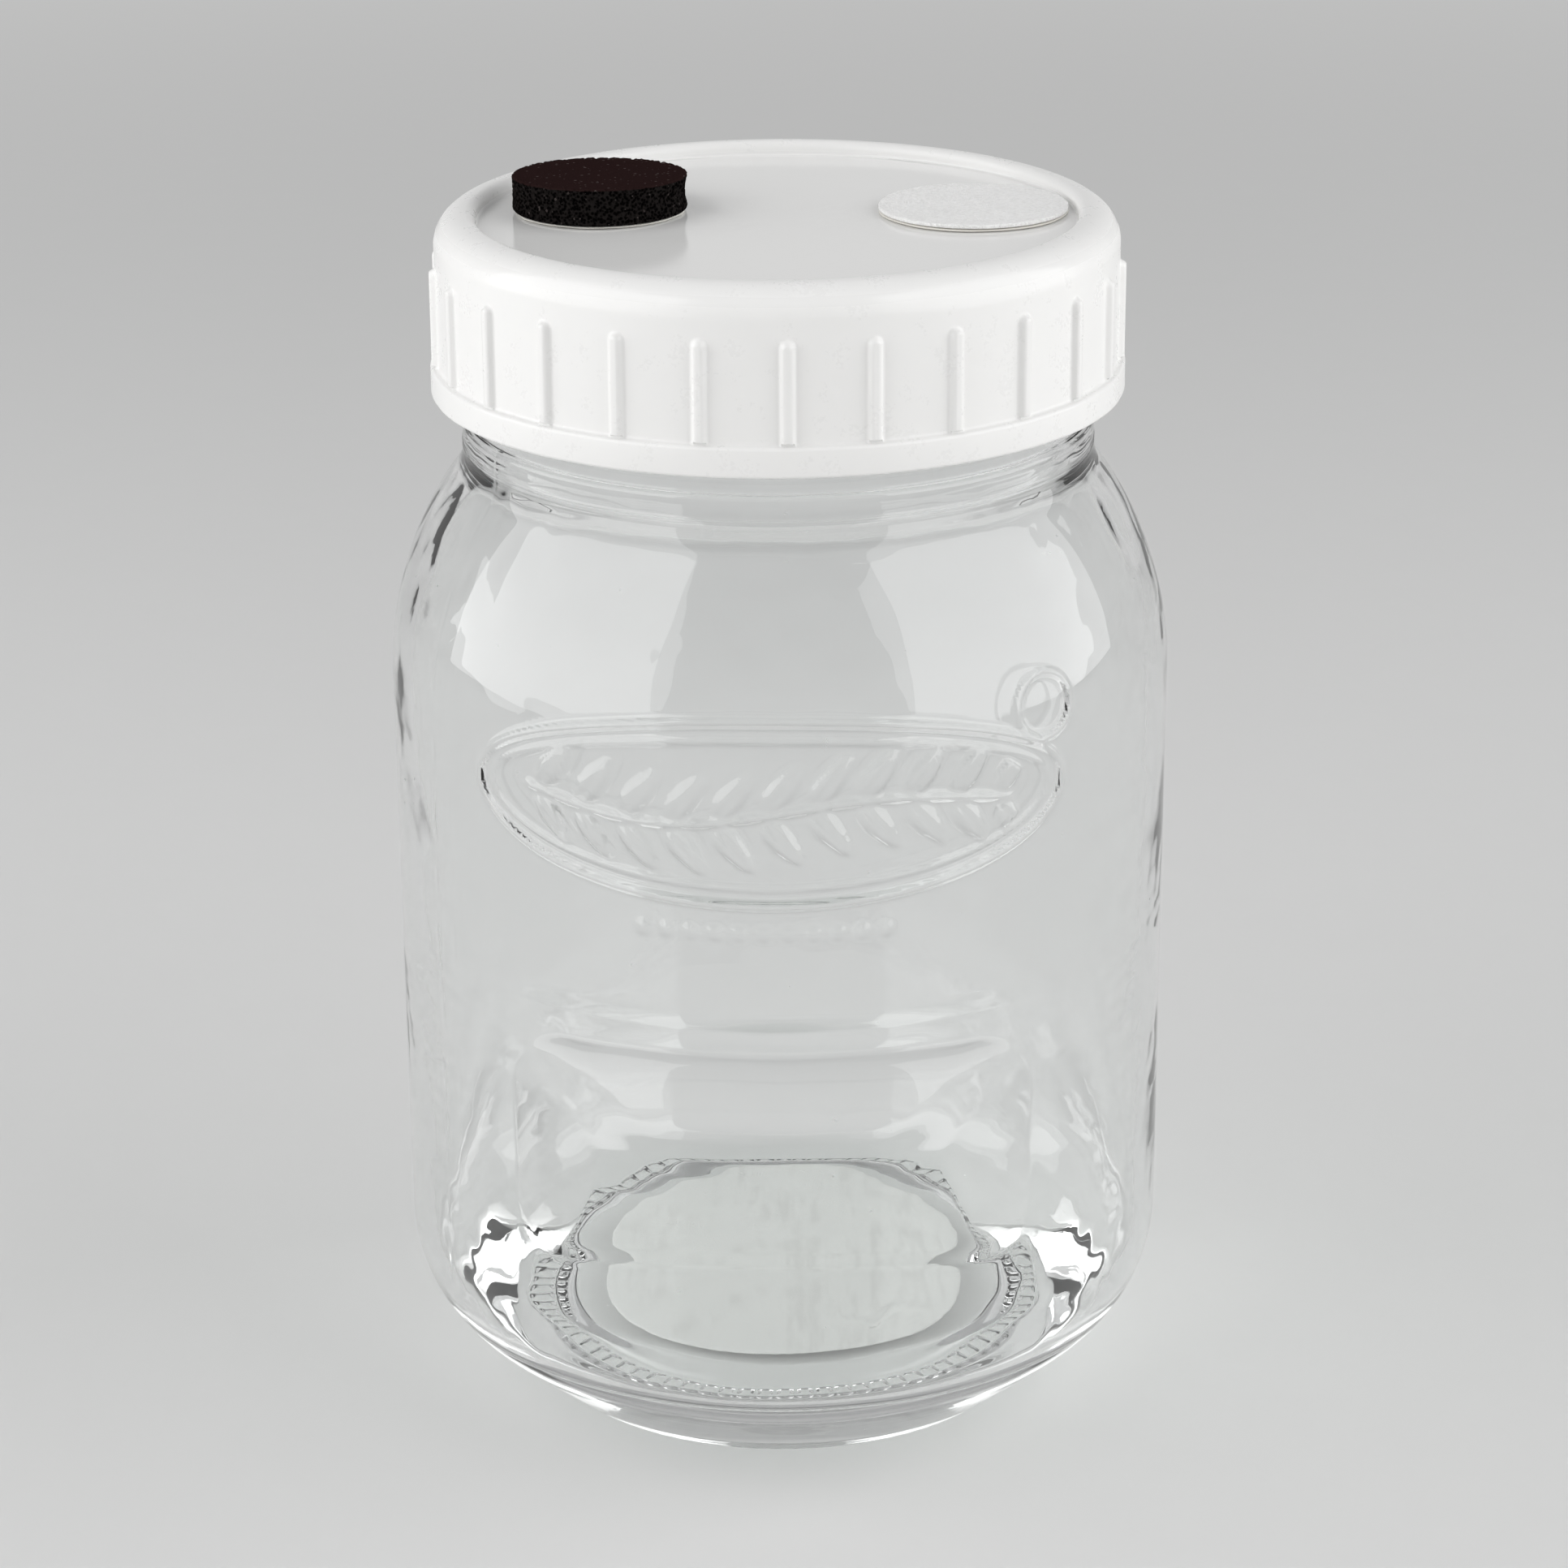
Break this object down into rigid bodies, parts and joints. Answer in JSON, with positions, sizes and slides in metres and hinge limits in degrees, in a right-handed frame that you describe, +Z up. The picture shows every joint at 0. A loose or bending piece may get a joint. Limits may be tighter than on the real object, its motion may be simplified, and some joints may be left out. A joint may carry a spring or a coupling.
{
  "type": "liquid culture jar",
  "caption": "Clear glass jar with a ribbed white screw lid that carries an injection port and an air filter, for growing a liquid culture.",
  "frame": {"origin": "middle of the base, on the surface that the jar stands on", "axes": "+Z up along the jar's axis; the pictured front faces -Y"},
  "size_m": [0.104, 0.104, 0.1656],
  "materials": {
    "clear_glass": "clear blown soda-lime glass",
    "white_polypropylene": "satin moulded polypropylene",
    "silicone": "translucent white silicone",
    "black_foam": "closed-cell foam with a smooth skin on top",
    "adhesive_film": "thin clear adhesive film",
    "filter_fibre": "pressed white synthetic fibre",
    "label_paper": "matt white paper"
  },
  "bodies": {
    "jar": {"glass_jar": "clear_glass", "base_label": "label_paper"},
    "seal": {"lid_seal_ring": "silicone"},
    "lid": {"screw_lid": "white_polypropylene", "foam_adhesive_disc": "adhesive_film", "foam_port_disc": "black_foam", "filter_adhesive_ring": "adhesive_film", "filter_disc": "filter_fibre"}
  },
  "joints": [
    {"name": "lid_lift", "type": "slide", "parent": "jar", "child": "seal", "axis": [0, 0, 1], "range_m": [0, 0.0204]},
    {"name": "lid_turn", "type": "hinge", "parent": "seal", "child": "lid", "pos_m": [0, 0, 0.15], "axis": [0, 0, 1], "range_deg": [0, 1440]}
  ],
  "couplings": [
    {"joint": "lid_lift", "follows": "lid_turn", "m_per_rad": 0.00080851}
  ]
}
